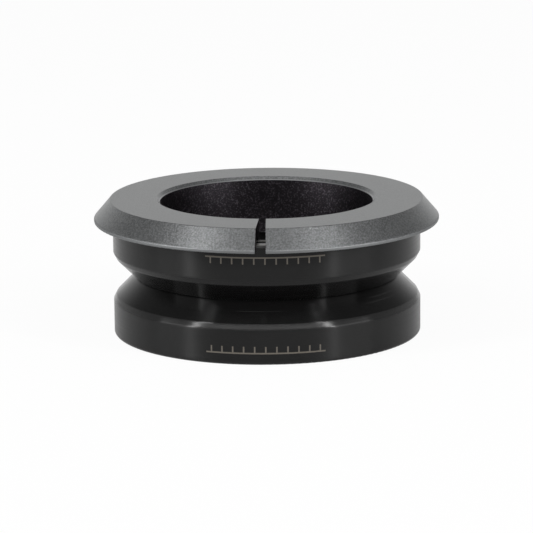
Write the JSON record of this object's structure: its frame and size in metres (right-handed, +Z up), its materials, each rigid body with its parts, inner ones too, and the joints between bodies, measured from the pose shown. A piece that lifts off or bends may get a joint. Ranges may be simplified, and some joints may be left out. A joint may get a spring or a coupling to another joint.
{
  "type": "bicycle headset",
  "caption": "Integrated bicycle headset: split dust cover with a compression cone over stacked angular-contact cartridge bearings with 45 degree seats, for a straight steerer tube.",
  "frame": {"origin": "centre of the lower bearing's large face, which the stack stands on", "axes": "+Z up along the steerer axis, from the lower bearing to the cover; -Y toward the middle of the cover's slit"},
  "size_m": [0.0468, 0.0468, 0.0184],
  "materials": {
    "cover_aluminium": "bead-blasted grey anodised, black inside the bore and slit",
    "race_steel": "black oxide on finely ground steel",
    "ball_steel": "polished bearing steel",
    "cage_nylon": "natural nylon",
    "seal_rubber": "matt moulded rubber"
  },
  "bodies": {
    "outer_races": {"lower_outer_race": "race_steel", "lower_face_seal": "seal_rubber", "lower_neck_seal": "seal_rubber", "upper_outer_race": "race_steel", "upper_face_seal": "seal_rubber", "upper_neck_seal": "seal_rubber"},
    "upper_inner": {"upper_inner_race": "race_steel", "split_cover": "cover_aluminium"},
    "upper_ball_set": {"upper_cage": "cage_nylon", "upper_ball_01": "ball_steel", "upper_ball_02": "ball_steel", "upper_ball_03": "ball_steel", "upper_ball_04": "ball_steel", "upper_ball_05": "ball_steel", "upper_ball_06": "ball_steel", "upper_ball_07": "ball_steel", "upper_ball_08": "ball_steel", "upper_ball_09": "ball_steel", "upper_ball_10": "ball_steel", "upper_ball_11": "ball_steel", "upper_ball_12": "ball_steel", "upper_ball_13": "ball_steel", "upper_ball_14": "ball_steel", "upper_ball_15": "ball_steel", "upper_ball_16": "ball_steel", "upper_ball_17": "ball_steel", "upper_ball_18": "ball_steel", "upper_ball_19": "ball_steel", "upper_ball_20": "ball_steel"},
    "lower_inner": {"lower_inner_race": "race_steel"},
    "lower_ball_set": {"lower_cage": "cage_nylon", "lower_ball_01": "ball_steel", "lower_ball_02": "ball_steel", "lower_ball_03": "ball_steel", "lower_ball_04": "ball_steel", "lower_ball_05": "ball_steel", "lower_ball_06": "ball_steel", "lower_ball_07": "ball_steel", "lower_ball_08": "ball_steel", "lower_ball_09": "ball_steel", "lower_ball_10": "ball_steel", "lower_ball_11": "ball_steel", "lower_ball_12": "ball_steel", "lower_ball_13": "ball_steel", "lower_ball_14": "ball_steel", "lower_ball_15": "ball_steel", "lower_ball_16": "ball_steel", "lower_ball_17": "ball_steel", "lower_ball_18": "ball_steel", "lower_ball_19": "ball_steel", "lower_ball_20": "ball_steel"}
  },
  "joints": [
    {"name": "upper_bearing_spin", "type": "hinge", "parent": "outer_races", "child": "upper_inner", "pos_m": [0, 0, 0.012], "axis": [0, 0, 1], "continuous": true},
    {"name": "upper_ball_orbit", "type": "hinge", "parent": "outer_races", "child": "upper_ball_set", "pos_m": [0, 0, 0.0122], "axis": [0, 0, 1], "continuous": true},
    {"name": "lower_bearing_spin", "type": "hinge", "parent": "outer_races", "child": "lower_inner", "pos_m": [0, 0, 0.004], "axis": [0, 0, 1], "continuous": true},
    {"name": "lower_ball_orbit", "type": "hinge", "parent": "outer_races", "child": "lower_ball_set", "pos_m": [0, 0, 0.0038], "axis": [0, 0, 1], "continuous": true}
  ],
  "couplings": [
    {"joint": "upper_ball_orbit", "follows": "upper_bearing_spin", "ratio": 0.46829},
    {"joint": "lower_ball_orbit", "follows": "lower_bearing_spin", "ratio": 0.46829}
  ]
}
